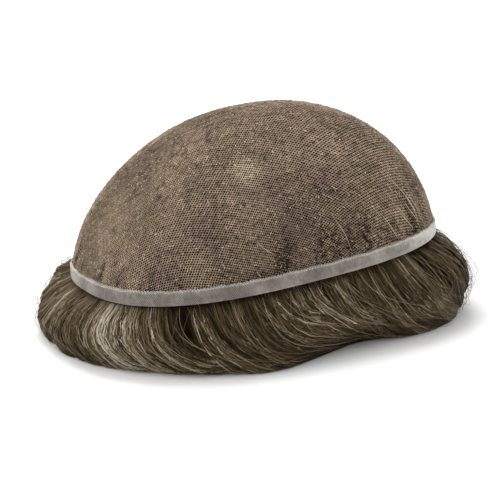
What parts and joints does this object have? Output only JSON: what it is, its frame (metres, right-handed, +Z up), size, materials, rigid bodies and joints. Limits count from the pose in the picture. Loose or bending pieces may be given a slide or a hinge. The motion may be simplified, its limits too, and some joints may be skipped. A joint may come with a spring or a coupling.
{
  "type": "toupee hairpiece",
  "caption": "Lace toupee lying inside out: a net dome bound with a folded ribbon, hair lining it and spilling out below the hem.",
  "frame": {"origin": "middle of the whole piece, on the surface it lies on", "axes": "+X towards the back of the hairpiece, along its length; +Z up; -Y towards the side that shows best"},
  "size_m": [0.2084, 0.138, 0.1047],
  "materials": {
    "lace_net": "fine open net, matte",
    "ribbon": "folded net ribbon, matte",
    "crown_hair": "brown hair, satin",
    "hair": "brown hair with grey strands, satin"
  },
  "bodies": {
    "root": {"lace_cap": "lace_net", "hem_band": "ribbon", "crown_hair": "crown_hair", "rim_hair": "crown_hair", "front_hair": "hair", "near_side_hair": "hair", "back_hair": "hair", "far_side_hair": "hair"}
  },
  "joints": []
}
